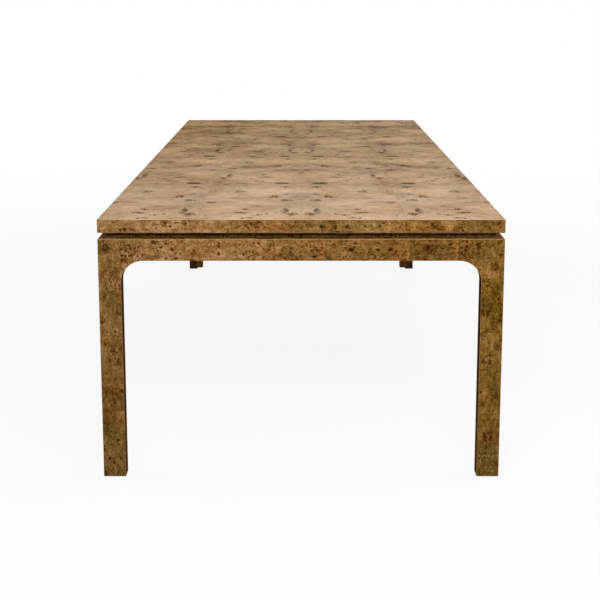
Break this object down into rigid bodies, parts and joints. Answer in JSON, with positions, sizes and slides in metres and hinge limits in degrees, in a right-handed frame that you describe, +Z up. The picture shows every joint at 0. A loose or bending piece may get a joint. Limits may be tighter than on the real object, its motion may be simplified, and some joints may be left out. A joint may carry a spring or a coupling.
{
  "type": "parsons dining table",
  "caption": "Long rectangular dining table with a flat slab top, a recessed shadow line below it and flush square-edged arches with rounded inner corners as legs and aprons.",
  "frame": {"origin": "on the floor under the middle of the table", "axes": "+Z up, Y along the table's length, X across its width"},
  "size_m": [1.143, 2.438, 0.762],
  "materials": {
    "burl_veneer": "poplar burl, tan with clusters of dark eyes, satin lacquer",
    "inside_burl_veneer": "poplar burl of plainer figure, satin lacquer",
    "backing_veneer": "plain straight-grained veneer, sealed",
    "fibreboard": "medium density fibreboard, raw",
    "frame_board": "laminated poplar board, sealed at the feet",
    "plywood": "birch plywood, sanded",
    "hardwood": "beech, planed",
    "zinc_steel": "zinc plated",
    "nail_steel": "bright drawn steel",
    "nylon": "matt dark brown"
  },
  "bodies": {
    "root": {"base_screws": "zinc_steel", "corner_blocks": "hardwood", "cross_batten_1": "hardwood", "cross_batten_2": "hardwood", "cross_batten_3": "hardwood", "far_end_arch_lining": "burl_veneer", "far_end_corner_left": "frame_board", "far_end_corner_right": "frame_board", "far_end_face_veneer": "burl_veneer", "far_end_inside_veneer": "inside_burl_veneer", "far_end_leg_left": "frame_board", "far_end_leg_right": "frame_board", "far_end_rail": "frame_board", "foot_glides": "nylon", "glide_nails": "nail_steel", "ledge_veneer": "burl_veneer", "left_side_arch_lining": "burl_veneer", "left_side_corner_far": "frame_board", "left_side_corner_near": "frame_board", "left_side_face_veneer": "burl_veneer", "left_side_inside_veneer": "inside_burl_veneer", "left_side_leg_far": "frame_board", "left_side_leg_near": "frame_board", "left_side_rail": "frame_board", "leg_dowels": "hardwood", "loose_tenons": "hardwood", "near_end_arch_lining": "burl_veneer", "near_end_corner_left": "frame_board", "near_end_corner_right": "frame_board", "near_end_face_veneer": "burl_veneer", "near_end_inside_veneer": "inside_burl_veneer", "near_end_leg_left": "frame_board", "near_end_leg_right": "frame_board", "near_end_rail": "frame_board", "reveal_veneer": "burl_veneer", "right_side_arch_lining": "burl_veneer", "right_side_corner_far": "frame_board", "right_side_corner_near": "frame_board", "right_side_face_veneer": "burl_veneer", "right_side_inside_veneer": "inside_burl_veneer", "right_side_leg_far": "frame_board", "right_side_leg_near": "frame_board", "right_side_rail": "frame_board", "slab_screws": "zinc_steel", "spacer_rail_far": "plywood", "spacer_rail_left": "plywood", "spacer_rail_near": "plywood", "spacer_rail_right": "plywood", "top_backing_veneer": "backing_veneer", "top_core_lower": "fibreboard", "top_core_upper": "fibreboard", "top_edge_band_far": "burl_veneer", "top_edge_band_left": "burl_veneer", "top_edge_band_near": "burl_veneer", "top_edge_band_right": "burl_veneer", "top_veneer_left": "burl_veneer", "top_veneer_right": "burl_veneer"}
  },
  "joints": []
}
